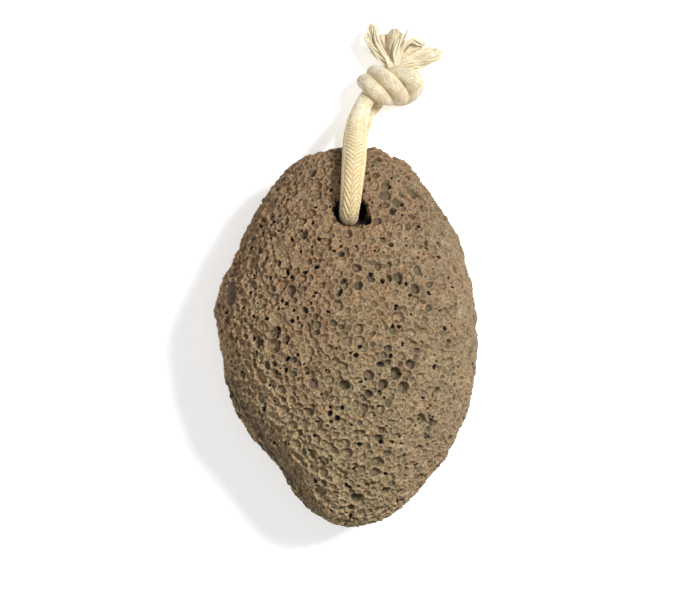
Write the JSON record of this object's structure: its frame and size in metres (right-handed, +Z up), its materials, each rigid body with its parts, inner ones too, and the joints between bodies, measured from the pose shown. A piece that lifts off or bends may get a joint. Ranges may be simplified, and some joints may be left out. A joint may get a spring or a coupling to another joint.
{
  "type": "pumice stone",
  "caption": "Egg-shaped vesicular lava foot stone, drilled near one end and strung on a knotted loop of braided cotton cord with frayed ends.",
  "frame": {"origin": "centre of the stone's bounding box seen from above, on the surface that the stone rests on", "axes": "+Y from the pointed tip to the drilled end, +X across the stone, +Z up through its thickness, away from the rest face"},
  "size_m": [0.0662, 0.1286, 0.0396],
  "materials": {
    "lava": "rough open vesicles with worn rims, matt taupe brown with warmer and greyer patches",
    "cotton_braid": "matt natural cotton, tubular herringbone braid",
    "cotton_yarn": "matt natural cotton yarn, untwisted and frayed"
  },
  "bodies": {
    "root": {"stone": "lava", "cord": "cotton_braid", "knot": "cotton_braid", "frayed_ends": "cotton_yarn"}
  },
  "joints": []
}
